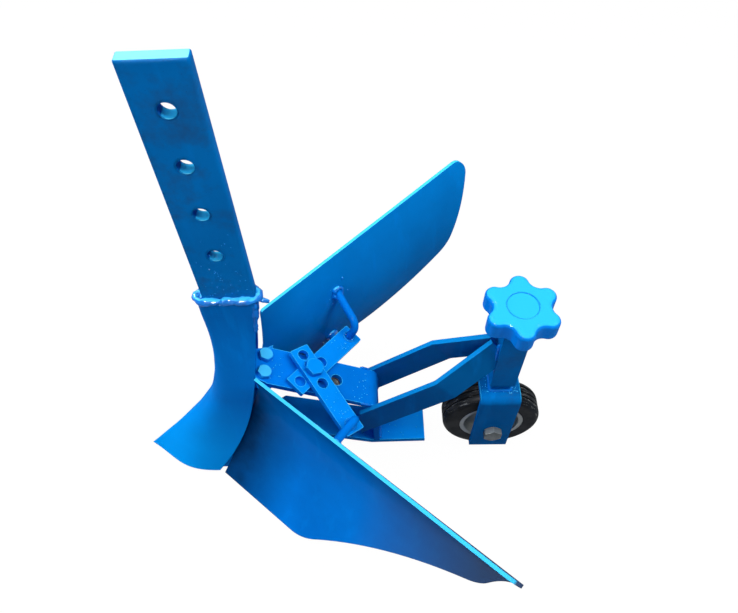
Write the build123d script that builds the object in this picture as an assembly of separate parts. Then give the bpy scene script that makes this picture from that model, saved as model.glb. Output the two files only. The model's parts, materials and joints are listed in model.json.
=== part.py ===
from build123d import *
import math
import os

# Ridging plough with a depth wheel, the implement that bolts to the back of a mini tiller.
# Millimetres, +Z up, ground at Z = 0, +X to the rear. X is counted from the shank here, and
# the finished pieces are moved so that the origin lies under the middle of the plough's length.

# Shank: flat bar with a row of bolt holes
shank_width = 45.0
shank_thick = 10.0
shank_top = 505.0
shank_hole_d = 13.0
shank_hole_pitch = 45.5
shank_hole_count = 4
shank_hole_end = 36.0
shank_tongue_width = 23.0
shank_tongue_length = 44.0
shank_tongue_relief = 0.8
shank_round = 1.5

# Share: bent sheet, pointed at the ground and closed round the shank at its neck
share_sheet = 3.0
share_neck_z = 273.0
share_rise = 289.0
share_reach = 145.0
share_neck_reach = 29.5
share_throat_z = 231.0
share_bend_reach = 57.5
share_bend_z = 103.0
share_bend_soft = 10.0
share_point = 0.4
share_foot_rear = 62.0
share_rear_lean = 40.0
share_foot_half = 37.5
share_belly_half = 22.5
share_belly_z = 135.0
share_waist_z = 245.0
share_flare_z = 130.0
share_rear_open = 14.0
share_below = 12.0
share_station_count = 18
share_fullness_foot = 0.55
share_fullness_neck = 0.95
neck_weld_height = 8.0
neck_weld_bead = 5.5

# Centre plate: sloping flat bar, bent down into a leg at its rear end
plate_half = 20.5
plate_thick = 6.0
plate_slope = 26.5
plate_top_x = 14.0
plate_top_z = 162.6
plate_front_x = 1.0
plate_neck_half = 17.0
plate_leg_x = 120.0
plate_bend = 12.0
clamp_u = 43.5
spare_u = 73.0
spare_hole_d = 12.0

# Sole bar: lower flat bar that rises into the share, with the heel plate behind
sole_half = 20.0
sole_thick = 6.0
sole_top_z = 31.0
sole_knee_x = 112.0
sole_heel_x = 170.0
sole_slope = 20.0
sole_tongue_half = 6.0
sole_tongue_set = 2.4
sole_neck_x = 2.0
sole_shoulder_x = 18.0

# Wings: mouldboard sheets rolled about a level axis, soil face inside the roll
wing_sheet = 3.0
wing_yaw = 40.67
roll_radius = 200.8
wing_belly = 13.2
roll_axis_z = 139.3
wing_bottom_z = 2.0
wing_front_s = -15.5
wing_foot_s = 103.0
wing_heel_s = 283.0
wing_heel_z = 109.0
wing_tip_s = 320.0
wing_tip_z = 220.0
wing_peak_s = 32.0
wing_peak_z = 201.0
wing_shoulder_s = 22.5
wing_shoulder_z = 163.0
wing_edge_s = -6.2
wing_edge_z = 72.0
wing_foot_round = 55.0
wing_heel_round = 40.0
wing_tip_round = 14.0
wing_peak_round = 5.0

# Wing hinges: bolts through the centre plate into lugs on the wings' backs
hinge_u = -3.0
hinge_v = 9.8
hinge_bolt_d = 8.0
hinge_head_af = 13.0
hinge_head_height = 5.3
hinge_nut_height = 6.5
hinge_washer_d = 14.5
hinge_washer_thick = 1.6
hinge_relief_r = 8.4
lug_thick = 5.0
lug_round = 8.6
lug_rear_s = 34.0
lug_front_s = 20.0

# Spread links, their clamp bolt and the staples that carry them
link_width = 22.0
link_thick = 5.0
link_hole_d = 11.0
link_hole_pitch = 17.3
link_end = 9.0
link_slot_width = 11.6
link_slot_out = 4.4
link_slot_in = 1.4
link_corner = 1.5
staple_u = 84.0
staple_v = 52.0
staple_rod_d = 8.0
staple_hole_d = 12.0
staple_bend = 11.0
staple_rise = 27.0
staple_drop = 22.0
staple_top_s = 117.5
staple_top_z = 165.0
staple_foot_s = 105.0
staple_foot_z = 94.0
clamp_bolt_d = 10.0
clamp_head_af = 17.0
clamp_head_height = 6.6
clamp_nut_height = 8.0
clamp_washer_d = 21.0
clamp_washer_thick = 2.0
bolt_spare_thread = 3.0

# Arms: bent flat bars from the centre plate to the guide tube
arm_width = 33.0
arm_thick = 5.0
arm_slope = 37.0
arm_front_x = 101.0
arm_pass_x = 116.8
arm_pass_z = 93.0
arm_bend_x = 186.0
arm_bend = 14.0
arm_meet_half = 3.1
arm_meet_x = 238.0

# Depth wheel, measured from its axle along the raked post
axle_x = 241.6
post_rake = 2.5
tyre_d = 104.0
tyre_width = 27.6
tyre_seat_d = 68.0
tyre_shoulder = 7.0
groove_width = 1.8
groove_depth = 1.6
groove_pitch = 6.0
groove_count = 3
rim_width = 27.0
rim_ring = 4.5
rim_web = 6.0
hub_d = 26.0
bush_d = 17.0
axle_d = 12.0
axle_head_af = 18.0
axle_head_height = 7.5
axle_nut_height = 10.0
fork_gap = 36.0
fork_thick = 5.0
fork_width = 41.0
fork_top = 65.0
fork_foot = 35.0
fork_bend = 9.0

# Guide tube, post and lift screw
tube_side = 25.0
tube_wall = 2.5
tube_bottom = 77.0
tube_top = 165.0
post_side = 19.4
post_wall = 2.0
post_top = 145.0
post_nut_height = 12.0
screw_d = 10.0
screw_foot = 85.0
cap_thick = 5.0
cap_spigot = 6.0
collar_d = 16.0
collar_height = 5.0

# Star knob
knob_tip_r = 35.3
knob_valley_r = 26.5
knob_lobe_r = 9.0
knob_lobes = 6
knob_turn = 88.0
knob_height = 22.0
knob_round = 4.5
knob_boss_d = 26.0
knob_boss_height = 4.0
knob_cap_d = 30.0
knob_cap_height = 3.0
knob_cap_sink = 0.6

# Clearances
running_gap = 0.05
slide_gap = 0.2
side_gap = 0.3
seat_gap = 0.2


def along(angle):
    """Cosine and sine of an angle in degrees."""
    turn = math.radians(angle)
    return math.cos(turn), math.sin(turn)


# Frames that several pieces share
plate_cos, plate_sin = along(plate_slope)
plate_frame = Plane(
    origin=(plate_top_x, 0, plate_top_z),
    x_dir=(plate_cos, 0, -plate_sin),
    z_dir=(plate_sin, 0, plate_cos),
)
yaw_cos, yaw_sin = along(wing_yaw)
roll_offset = roll_radius + wing_belly
wing_run = Vector(yaw_cos, yaw_sin, 0)
wing_out = Vector(-yaw_sin, yaw_cos, 0)
axle_z = tyre_d / 2
post_place = Location((axle_x, 0, axle_z), (0, post_rake, 0))
centre_x = (axle_x + tyre_d / 2 - share_reach) / 2


def hexagon(across_flats):
    """Hexagon with the given size across its flats."""
    return RegularPolygon(radius=across_flats / 2, side_count=6, major_radius=False)


def on_plate(height, shape):
    """Put a sketch or solid on the centre plate's top, raised by height."""
    return plate_frame.offset(height) * shape


def hex_bolt(diameter, across_flats, head_height, length):
    """Bolt with its seat at Z = 0, head above and shank below."""
    head = extrude(hexagon(across_flats), amount=head_height)
    shank = extrude(Circle(diameter / 2), amount=-length)
    return head + shank


def ring(outer_d, inner_d, height):
    """Flat ring that stands on Z = 0."""
    return extrude(Circle(outer_d / 2) - Circle(inner_d / 2), amount=height)


# Share: outer and inner lofts through level stations
def share_station(height):
    """Front reach, rear edge and half width of the share at a height."""
    above = 1 - min(height / share_rise, 1)
    throat = max(share_throat_z - height, 0) / (share_throat_z - share_bend_z)
    upper = share_neck_reach + (share_bend_reach - share_neck_reach) * throat ** 2
    lower = share_reach - (share_reach - share_bend_reach) * height / share_bend_z
    soft = max(share_bend_soft - abs(upper - lower), 0)
    front = max(upper, lower) + soft ** 2 / (4 * share_bend_soft)
    rear_rise = shank_width / 2 + share_foot_rear - share_rear_lean
    rear = shank_width / 2 - share_rear_lean * above - rear_rise * above ** 4
    neck_half = shank_thick / 2 + share_sheet + seat_gap
    waist = (height - share_belly_z) / (share_waist_z - share_belly_z)
    waist = min(max(waist, 0), 1)
    half = share_belly_half - (share_belly_half - neck_half) * waist ** 2 * (3 - 2 * waist)
    flare = max(1 - height / share_flare_z, 0)
    half += (share_foot_half - share_belly_half) * flare ** 2
    return front, rear, half


def share_section(height, front_wall, side_wall, rear_extra):
    """Level section of the share: rounded in front, straight across behind."""
    front, rear, half = share_station(height)
    front -= front_wall
    half -= side_wall
    rear += rear_extra
    climb = min(max(height / share_rise, 0), 1)
    full = share_fullness_foot + (share_fullness_neck - share_fullness_foot) * climb
    depth = rear + front
    cheek = share_point * depth * max(1 - height / share_bend_z, 0) - front
    left = Bezier((rear, half), (rear - full * depth, half), (cheek, full * half), (-front, 0))
    right = Bezier((-front, 0), (cheek, -full * half), (rear - full * depth, -half), (rear, -half))
    back = Line((rear, -half), (rear, half))
    return Pos(0, 0, height) * make_face([left, right, back])


def share_loft(top, front_wall, side_wall, rear_extra):
    """Loft from below the ground to the top, drawn in by the walls."""
    step = (top + share_below) / (share_station_count - 1)
    return loft([
        share_section(index * step - share_below, front_wall, side_wall, rear_extra)
        for index in range(share_station_count)
    ])


def build_share():
    """Bent sheet share, open behind, below and at its neck."""
    front_wall = 1.3 * share_sheet
    side_wall = 1.1 * share_sheet
    outer = share_loft(share_neck_z, 0, 0, 0)
    inner = share_loft(share_neck_z + share_sheet, front_wall, side_wall, share_rear_open)
    above_ground = Box(
        4 * share_reach, 4 * share_reach, share_neck_z, align=(Align.CENTER, Align.CENTER, Align.MIN)
    )
    return (outer & above_ground) - inner


share = build_share()

# Shank: bar above the neck and a thinner tongue inside it
hole_row = [
    Pos(0, 0, shank_top - shank_hole_end - index * shank_hole_pitch)
    for index in range(shank_hole_count)
]
shank_bar = Pos(0, 0, share_neck_z) * Box(
    shank_width, shank_thick, shank_top - share_neck_z,
    align=(Align.CENTER, Align.CENTER, Align.MIN),
)
shank_bar = fillet(shank_bar.edges().filter_by(Axis.Z), shank_round)
shank_bar = fillet(shank_bar.faces().sort_by(Axis.Z)[-1].edges(), shank_round)
tongue_rear = share_station(share_neck_z - shank_tongue_length)[1]
shank_tongue = Pos(tongue_rear, 0, share_neck_z) * Box(
    shank_tongue_width, shank_thick - 2 * shank_tongue_relief, shank_tongue_length,
    align=(Align.MAX, Align.CENTER, Align.MAX),
)
shank_drill = Rot(90, 0, 0) * Cylinder(shank_hole_d / 2, 2 * shank_thick)
shank = shank_bar + shank_tongue - [place * shank_drill for place in hole_row]

# Neck weld: bead round the shank on the share's rim
bead_front = share_neck_reach + neck_weld_bead / 2
bead_rear = shank_width / 2 + neck_weld_bead
bead_outline = Pos((bead_rear - bead_front) / 2, 0) * RectangleRounded(
    bead_front + bead_rear, shank_thick + 2 * neck_weld_bead, neck_weld_bead
)
neck_weld = Pos(0, 0, share_neck_z) * extrude(
    bead_outline - RectangleRounded(shank_width, shank_thick, shank_round), amount=neck_weld_height
)
neck_weld = chamfer(neck_weld.faces().sort_by(Axis.Z)[-1].outer_wire().edges(), neck_weld_bead / 2)


# Centre plate: profile along the plough, cut to its plan
def plate_line(x):
    """Height of the plate's top face at a place along the plough."""
    return plate_top_z - (x - plate_top_x) * plate_sin / plate_cos


def build_centre_plate():
    """Sloping plate with its rear leg, its bolt holes and the narrowed front end."""
    drop = plate_thick / plate_cos
    front = plate_front_x
    rear = plate_leg_x
    inner = plate_leg_x - plate_thick
    profile = make_face(Polyline(
        (front, plate_line(front)), (rear, plate_line(rear)), (rear, sole_top_z),
        (inner, sole_top_z), (inner, plate_line(inner) - drop), (front, plate_line(front) - drop),
        close=True,
    ))
    outer_corner = profile.vertices().sort_by_distance((rear, plate_line(rear), 0))[0]
    profile = fillet(outer_corner, plate_bend)
    inner_corner = profile.vertices().sort_by_distance((inner, plate_line(inner) - drop, 0))[0]
    profile = fillet(inner_corner, plate_bend - plate_thick)
    blank = extrude(Plane.XZ * profile, amount=plate_half, both=True)
    shoulder = plate_top_x + hinge_u + lug_round / 2
    plan = make_face(Polyline(
        (front, plate_neck_half), (front + lug_round / 2, plate_neck_half), (shoulder, plate_half),
        (rear, plate_half), (rear, -plate_half), (shoulder, -plate_half),
        (front + lug_round / 2, -plate_neck_half), (front, -plate_neck_half), close=True,
    ))
    blank &= extrude(plan, amount=shank_top)
    drill_depth = 2 * plate_thick
    holes = [
        Pos(hinge_u, side * hinge_v) * Cylinder(hinge_bolt_d / 2 + slide_gap, drill_depth)
        for side in (1, -1)
    ]
    holes.append(Pos(clamp_u, 0) * Cylinder(clamp_bolt_d / 2 + slide_gap, drill_depth))
    holes.append(Pos(spare_u, 0) * Cylinder(spare_hole_d / 2, drill_depth))
    return blank - [on_plate(-plate_thick / 2, hole) for hole in holes] - share


centre_plate = build_centre_plate()


def build_sole_bar():
    """Lower bar: narrow tongue in the share, wide run, then the level heel plate."""
    rise = math.tan(math.radians(sole_slope))
    drop = sole_thick / math.cos(math.radians(sole_slope))
    front_top = sole_top_z + (sole_knee_x + share_reach / 2) * rise
    for _ in range(6):
        sole_tongue_x = sole_tongue_set - share_station(front_top)[0]
        front_top = sole_top_z + (sole_knee_x - sole_tongue_x) * rise
    under_knee = sole_knee_x - sole_thick * math.tan(math.radians(sole_slope / 2))
    profile = make_face(Polyline(
        (sole_tongue_x, front_top), (sole_knee_x, sole_top_z), (sole_heel_x, sole_top_z),
        (sole_heel_x, sole_top_z - sole_thick), (under_knee, sole_top_z - sole_thick),
        (sole_tongue_x, front_top - drop), close=True,
    ))
    blank = extrude(Plane.XZ * profile, amount=sole_half, both=True)
    half_plan = [
        (sole_tongue_x, sole_tongue_half), (sole_neck_x, sole_tongue_half),
        (sole_shoulder_x, sole_half), (sole_heel_x, sole_half),
    ]
    far_plan = [(x, -y) for x, y in reversed(half_plan)]
    plan = make_face(Polyline(*half_plan, *far_plan, close=True))
    return (blank & extrude(plan, amount=shank_top)) - share


sole_bar = build_sole_bar()


# Wings: a length of rolled sheet cut to the mouldboard's outline
def wing_point(run, height, depth):
    """Point on the left wing, run along it and depth behind its soil face."""
    radius = roll_radius + depth
    reach = roll_offset - math.sqrt(radius ** 2 - (height - roll_axis_z) ** 2)
    return wing_run * run + wing_out * reach + Vector(0, 0, height)


def hinge_cylinder(radius, top, bottom):
    """Cylinder about the left hinge axis between two heights above the plate's top."""
    stick = Cylinder(radius, top - bottom, align=(Align.CENTER, Align.CENTER, Align.MAX))
    return on_plate(top, Pos(hinge_u, hinge_v) * stick)


lug_top = -plate_thick - side_gap
lug_bottom = lug_top - lug_thick
hinge_nut_seat = lug_bottom - side_gap - hinge_washer_thick
hinge_bolt_end = hinge_nut_seat - hinge_nut_height - bolt_spare_thread


def wing_outline():
    """Mouldboard outline, run along the wing by height, with its curved front edge."""
    shoulder = (wing_shoulder_s, wing_shoulder_z)
    edge_middle = (wing_edge_s, wing_edge_z)
    foot = (wing_foot_s, wing_bottom_z)
    heel = (wing_heel_s, wing_heel_z)
    tip = (wing_tip_s, wing_tip_z)
    peak = (wing_peak_s, wing_peak_z)
    rim = Polyline((wing_front_s, wing_bottom_z), foot, heel, tip, peak, shoulder)
    front = ThreePointArc(shoulder, edge_middle, (wing_front_s, wing_bottom_z))
    outline = make_face([*rim.edges(), front])
    rounds = (
        (foot, wing_foot_round), (heel, wing_heel_round),
        (tip, wing_tip_round), (peak, wing_peak_round),
    )
    for corner, radius in rounds:
        vertex = outline.vertices().sort_by_distance((*corner, 0))[0]
        outline = fillet(vertex, radius)
    return outline


def build_wing():
    """Left wing with the clearance round its hinge nut."""
    start = wing_run * (wing_front_s - wing_sheet)
    roll = Plane(origin=start, x_dir=wing_out, z_dir=wing_run)
    sheet = Circle(roll_radius + wing_sheet) - Circle(roll_radius)
    length = wing_tip_s - wing_front_s + 4 * wing_sheet
    rolled = extrude(roll * Pos(roll_offset, roll_axis_z) * sheet, amount=length)
    side_view = Plane(origin=(0, 0, 0), x_dir=wing_run, z_dir=-wing_out)
    cutter = extrude(side_view * wing_outline(), amount=-roll_offset)
    relief = hinge_cylinder(hinge_relief_r, lug_bottom, hinge_bolt_end - side_gap)
    return (rolled & cutter) - relief


def build_lug(wing):
    """Hinge lug under the centre plate, run out to the wing's back."""
    level = (lug_top + lug_bottom) / 2
    middle = wing_sheet / 2
    height = plate_top_z - plate_thick
    front = plate_frame.to_local_coords(wing_point(lug_front_s, height, middle))
    rear = plate_frame.to_local_coords(wing_point(lug_rear_s, height, middle))
    outline = Pos(hinge_u, hinge_v) * Circle(lug_round)
    outline += make_face(Polyline(
        (hinge_u - lug_round, hinge_v), (front.X, front.Y), (rear.X, rear.Y),
        (hinge_u + lug_round, hinge_v), close=True,
    ))
    bore = Pos(hinge_u, hinge_v) * Circle(hinge_bolt_d / 2 + running_gap)
    solid = extrude(on_plate(level - lug_thick / 2, outline - bore), amount=lug_thick)
    return (solid - wing).solids().sort_by_distance(hinge_cylinder(1, 0, -1).center())[0]


def build_staple(wing):
    """Bent rod welded to the wing's back, straight where the link turns on it."""
    middle = wing_sheet / 2
    top = plate_frame.from_local_coords(Vector(staple_u, staple_v, staple_rise))
    foot = plate_frame.from_local_coords(Vector(staple_u, staple_v, -staple_drop))
    path = FilletPolyline(
        wing_point(staple_top_s, staple_top_z, middle), top, foot,
        wing_point(staple_foot_s, staple_foot_z, middle), radius=staple_bend,
    )
    section = Plane(origin=path @ 0, z_dir=path % 0) * Circle(staple_rod_d / 2)
    rod = sweep(section, path=path)
    return (rod - wing).solids().sort_by(SortBy.VOLUME)[-1]


left_wing = build_wing()
left_lug = build_lug(left_wing)
left_staple = build_staple(left_wing)


# Spread links: crossed under the clamp bolt, the left one below
link_reach = math.hypot(staple_u - clamp_u, staple_v)
link_angle = math.degrees(math.atan2(staple_v, staple_u - clamp_u))


def build_link(side, level):
    """Flat link with its row of holes, the clamp slot and the staple hole."""
    front = -link_hole_pitch - link_end
    rear = link_reach + link_end
    outline = Pos((front + rear) / 2, 0) * RectangleRounded(rear - front, link_width, link_corner)
    for place in (-link_hole_pitch, link_hole_pitch):
        outline -= Pos(place, 0) * Circle(link_hole_d / 2)
    slot_middle = (link_slot_in - link_slot_out) / 2
    slot = SlotCenterToCenter(link_slot_in + link_slot_out, link_slot_width)
    outline -= Pos(slot_middle, 0) * slot
    outline -= Pos(link_reach, 0) * Circle(staple_hole_d / 2)
    turned = Pos(clamp_u, 0) * Rot(0, 0, side * link_angle) * outline
    return extrude(on_plate(level, turned), amount=link_thick)


lower_link_level = seat_gap
upper_link_level = lower_link_level + link_thick + seat_gap
clamp_seat = upper_link_level + link_thick + seat_gap
left_link = build_link(1, lower_link_level)
right_link = build_link(-1, upper_link_level)

# Clamp bolt with its washer and nut under the centre plate
clamp_nut_seat = -plate_thick - clamp_washer_thick
clamp_length = clamp_seat - clamp_nut_seat + clamp_nut_height + bolt_spare_thread
clamp_spot = Pos(clamp_u, 0)
clamp_turn = Rot(0, 0, link_angle)
clamp_bolt = on_plate(clamp_seat, clamp_spot * clamp_turn * hex_bolt(
    clamp_bolt_d, clamp_head_af, clamp_head_height, clamp_length
))
clamp_washer = on_plate(clamp_nut_seat, clamp_spot * ring(
    clamp_washer_d, clamp_bolt_d + 2 * slide_gap, clamp_washer_thick
))
clamp_nut = on_plate(clamp_nut_seat - clamp_nut_height, clamp_spot * extrude(
    hexagon(clamp_head_af) - Circle(clamp_bolt_d / 2), amount=clamp_nut_height
))


# Hinge bolts, washers and nuts, a pair of each
def hinge_pair(level, piece):
    """The same piece at both hinges, at a height above the plate's top."""
    return Compound([on_plate(level, Pos(hinge_u, side * hinge_v) * piece) for side in (1, -1)])


hinge_bolts = hinge_pair(0, hex_bolt(
    hinge_bolt_d, hinge_head_af, hinge_head_height, -hinge_bolt_end
))
hinge_washers = hinge_pair(hinge_nut_seat, ring(
    hinge_washer_d, hinge_bolt_d + 2 * slide_gap, hinge_washer_thick
))
hinge_nuts = hinge_pair(hinge_nut_seat - hinge_nut_height, extrude(
    hexagon(hinge_head_af) - Circle(hinge_bolt_d / 2), amount=hinge_nut_height
))


# Depth wheel and its post, built upright on the axle and then raked
def square(side):
    """Square profile of a tube or bar."""
    return Rectangle(side, side)


guide_blank = Pos(0, 0, tube_bottom) * extrude(square(tube_side), amount=tube_top - tube_bottom)
guide_tube = Pos(0, 0, tube_bottom) * extrude(
    square(tube_side) - square(tube_side - 2 * tube_wall), amount=tube_top - tube_bottom
)
cap_bore = Circle(screw_d / 2 + running_gap)
guide_cap = Pos(0, 0, tube_top) * extrude(square(tube_side) - cap_bore, amount=cap_thick)
guide_cap += Pos(0, 0, tube_top) * extrude(
    square(tube_side - 2 * tube_wall) - cap_bore, amount=-cap_spigot
)
cap_top = tube_top + cap_thick

post_inner = post_side - 2 * post_wall
inner_post = Pos(0, 0, fork_top) * extrude(
    square(post_side) - square(post_inner), amount=post_top - fork_top
)
post_nut = Pos(0, 0, post_top - post_nut_height) * extrude(
    square(post_inner) - Circle(screw_d / 2 + side_gap), amount=post_nut_height
)

fork_half = fork_gap / 2 + fork_thick
fork_height = fork_top + fork_foot
fork_outer = Pos(0, fork_top) * Rectangle(
    2 * fork_half, fork_height, align=(Align.CENTER, Align.MAX)
)
fork_outer = fillet(fork_outer.vertices().group_by(Axis.Y)[-1], fork_bend)
fork_inner = Pos(0, fork_top - fork_thick) * Rectangle(
    fork_gap, fork_height, align=(Align.CENTER, Align.MAX)
)
fork_inner = fillet(fork_inner.vertices().group_by(Axis.Y)[-1], fork_bend - fork_thick)
wheel_fork = extrude(Plane.YZ * (fork_outer - fork_inner), amount=fork_width / 2, both=True)
wheel_fork -= Rot(90, 0, 0) * Cylinder(axle_d / 2 + slide_gap, 3 * fork_half)

axle_length = 2 * fork_half + axle_nut_height + bolt_spare_thread
axle_bolt = Pos(0, -fork_half, 0) * Rot(90, 0, 0) * hex_bolt(
    axle_d, axle_head_af, axle_head_height, axle_length
)
axle_nut = Pos(0, fork_half + axle_nut_height, 0) * Rot(90, 0, 0) * extrude(
    hexagon(axle_head_af) - Circle(axle_d / 2), amount=axle_nut_height
)


# Wheel: profiles with the radius along X, turned about the axle
def turned(profile):
    """Turn a profile about the axle."""
    return revolve(profile, axis=Axis.Y)


def band(inner_r, outer_r, width):
    """Profile of a ring centred on the wheel's middle plane."""
    return Pos((inner_r + outer_r) / 2, 0) * Rectangle(outer_r - inner_r, width)


tyre_profile = band(tyre_seat_d / 2, tyre_d / 2, tyre_width)
tyre_profile = fillet(tyre_profile.vertices().group_by(Axis.X)[-1], tyre_shoulder)
for index in range(groove_count):
    place = (index - (groove_count - 1) / 2) * groove_pitch
    tyre_profile -= Pos(tyre_d / 2, place) * Rectangle(2 * groove_depth, groove_width)
tyre = turned(tyre_profile)

hub_length = fork_gap - 2 * side_gap
rim_inner_r = tyre_seat_d / 2 - rim_ring
rim_profile = band(rim_inner_r, tyre_seat_d / 2, rim_width)
rim_profile += band(bush_d / 2, rim_inner_r, rim_web)
rim_profile += band(bush_d / 2, hub_d / 2, hub_length)
wheel_rim = turned(rim_profile)
hub_bush = turned(band(axle_d / 2 + running_gap, bush_d / 2, hub_length))

# Star knob with its cap, screw and thrust collar
knob_foot = cap_top + side_gap + knob_boss_height


def knob_outline():
    """Star outline of lobe arcs joined by hollow arcs that touch them smoothly."""
    half_step = math.pi / knob_lobes
    lobe_at = knob_tip_r - knob_lobe_r
    lean = lobe_at * math.cos(half_step)
    spare = lobe_at ** 2 + knob_valley_r ** 2 - 2 * lean * knob_valley_r - knob_lobe_r ** 2
    hollow_r = spare / (2 * (knob_lobe_r - knob_valley_r + lean))
    hollow_at = knob_valley_r + hollow_r

    def around(radius, turn):
        return Vector(radius * math.cos(turn), radius * math.sin(turn))

    arcs = []
    for index in range(knob_lobes):
        turn = math.radians(knob_turn) + 2 * index * half_step
        lobe = around(lobe_at, turn)
        before = around(hollow_at, turn - half_step)
        after = around(hollow_at, turn + half_step)
        start = lobe + (before - lobe).normalized() * knob_lobe_r
        end = lobe + (after - lobe).normalized() * knob_lobe_r
        following = around(lobe_at, turn + 2 * half_step)
        hollow_end = following + (after - following).normalized() * knob_lobe_r
        arcs.append(ThreePointArc(start, around(knob_tip_r, turn), end))
        arcs.append(ThreePointArc(end, around(knob_valley_r, turn + half_step), hollow_end))
    return make_face(arcs)


star_knob = Pos(0, 0, knob_foot) * extrude(knob_outline(), amount=knob_height)
knob_ends = star_knob.faces().filter_by(Axis.Z)
star_knob = fillet(knob_ends.edges(), knob_round)
star_knob += Pos(0, 0, knob_foot - knob_boss_height) * Cylinder(
    knob_boss_d / 2, knob_boss_height, align=(Align.CENTER, Align.CENTER, Align.MIN)
)
knob_top = knob_foot + knob_height
knob_socket = Pos(0, 0, knob_top) * Cylinder(
    knob_cap_d / 2, knob_cap_height + knob_cap_sink, align=(Align.CENTER, Align.CENTER, Align.MAX)
)
screw_head = knob_top - 2 * (knob_cap_height + knob_cap_sink)
lift_screw = Pos(0, 0, screw_foot) * Cylinder(
    screw_d / 2, screw_head - screw_foot, align=(Align.CENTER, Align.CENTER, Align.MIN)
)
star_knob -= [knob_socket, lift_screw]
knob_cap = Pos(0, 0, knob_top - knob_cap_sink) * Cylinder(
    knob_cap_d / 2 - seat_gap, knob_cap_height, align=(Align.CENTER, Align.CENTER, Align.MAX)
)
collar_top = tube_top - cap_spigot - side_gap
thrust_collar = Pos(0, 0, collar_top - collar_height) * ring(collar_d, screw_d, collar_height)


# Arms: swept flat bars, cut square to the ground in front and to the guide tube behind
def build_arm(side):
    """One arm, straight beside the centre plate and then turned in to the tube."""
    slope_cos, slope_sin = along(arm_slope)
    frame = Plane(
        origin=(arm_pass_x, 0, arm_pass_z),
        x_dir=(slope_cos, 0, slope_sin),
        z_dir=(-slope_sin, 0, slope_cos),
    )
    beside = side * (plate_half + arm_thick / 2)
    path = frame * FilletPolyline(
        ((arm_front_x - arm_pass_x) / slope_cos - arm_width, beside),
        ((arm_bend_x - arm_pass_x) / slope_cos, beside),
        ((arm_meet_x - arm_pass_x) / slope_cos, side * arm_meet_half),
        radius=arm_bend,
    )
    section = Plane(origin=path @ 0, x_dir=(0, 1, 0), z_dir=path % 0)
    bar = sweep(section * Rectangle(arm_thick, arm_width), path=path)
    ahead = Pos(arm_front_x, 0, 0) * Box(
        shank_top, shank_top, shank_top, align=(Align.MAX, Align.CENTER, Align.CENTER)
    )
    return (bar - ahead - post_place * guide_blank).solids().sort_by(SortBy.VOLUME)[-1]


raked = {
    "guide_tube": guide_tube,
    "guide_cap": guide_cap,
    "lift_screw": lift_screw,
    "thrust_collar": thrust_collar,
    "star_knob": star_knob,
    "knob_cap": knob_cap,
    "inner_post": inner_post,
    "post_nut": post_nut,
    "wheel_fork": wheel_fork,
    "axle_bolt": axle_bolt,
    "axle_nut": axle_nut,
    "tyre": tyre,
    "wheel_rim": wheel_rim,
    "hub_bush": hub_bush,
}
pieces = {
    "shank": shank,
    "share": share,
    "neck_weld": neck_weld,
    "centre_plate": centre_plate,
    "sole_bar": sole_bar,
    "left_arm": build_arm(1),
    "right_arm": build_arm(-1),
    "left_wing": left_wing,
    "left_hinge_lug": left_lug,
    "left_staple": left_staple,
    "right_wing": mirror(left_wing, Plane.XZ),
    "right_hinge_lug": mirror(left_lug, Plane.XZ),
    "right_staple": mirror(left_staple, Plane.XZ),
    "left_link": left_link,
    "right_link": right_link,
    "clamp_bolt": clamp_bolt,
    "clamp_washer": clamp_washer,
    "clamp_nut": clamp_nut,
    "hinge_bolts": hinge_bolts,
    "hinge_washers": hinge_washers,
    "hinge_nuts": hinge_nuts,
}
pieces.update({name: post_place * shape for name, shape in raked.items()})

os.makedirs("parts", exist_ok=True)
for name, shape in pieces.items():
    export_step(Pos(-centre_x, 0, 0) * shape, f"parts/{name}.step")
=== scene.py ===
"""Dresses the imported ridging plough: enamel, weld beads, fasteners, tyre dust, light and camera."""

from __future__ import annotations

import json
import logging
import math
import random
from dataclasses import dataclass, field
from enum import Enum
from typing import Iterable, Iterator, Sequence

import bmesh
import bpy
from bmesh.types import BMEdge, BMesh, BMVert
from bpy.types import Material, Node, NodeSocket, NodeTree
from mathutils import Matrix, Vector, noise

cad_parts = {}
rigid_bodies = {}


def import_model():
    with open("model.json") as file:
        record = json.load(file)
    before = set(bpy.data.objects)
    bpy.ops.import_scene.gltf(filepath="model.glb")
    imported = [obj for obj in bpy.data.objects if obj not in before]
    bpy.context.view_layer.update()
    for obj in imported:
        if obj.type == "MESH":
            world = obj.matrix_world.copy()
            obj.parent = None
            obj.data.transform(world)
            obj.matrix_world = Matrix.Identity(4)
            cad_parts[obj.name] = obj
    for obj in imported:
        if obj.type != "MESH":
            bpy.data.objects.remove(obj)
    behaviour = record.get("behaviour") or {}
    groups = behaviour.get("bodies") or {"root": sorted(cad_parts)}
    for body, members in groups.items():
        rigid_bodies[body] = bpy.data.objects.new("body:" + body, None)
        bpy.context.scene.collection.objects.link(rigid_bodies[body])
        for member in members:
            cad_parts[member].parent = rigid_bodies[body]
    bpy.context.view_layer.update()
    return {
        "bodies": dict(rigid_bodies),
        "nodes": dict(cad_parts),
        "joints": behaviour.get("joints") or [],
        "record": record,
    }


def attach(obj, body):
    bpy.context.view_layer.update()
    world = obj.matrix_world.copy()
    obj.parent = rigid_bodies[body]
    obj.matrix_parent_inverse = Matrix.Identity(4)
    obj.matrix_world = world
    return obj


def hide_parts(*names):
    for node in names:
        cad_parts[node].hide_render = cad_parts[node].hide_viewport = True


LOG = logging.getLogger("ridging_plough")
MM = 0.001
TURN = 2 * math.pi
SHANK_X = -0.0743
Colour = tuple[float, float, float]
Loop = tuple[list[BMVert], list[BMEdge]]


class Slot(Enum):
    """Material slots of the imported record, named as the finishes that dress them."""

    ENAMEL = "blue_paint"
    KNOB = "blue_knob"
    STEEL = "plain_steel"
    ZINC = "zinc_steel"
    TYRE = "black_tyre"
    RIM = "grey_rim"


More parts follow.
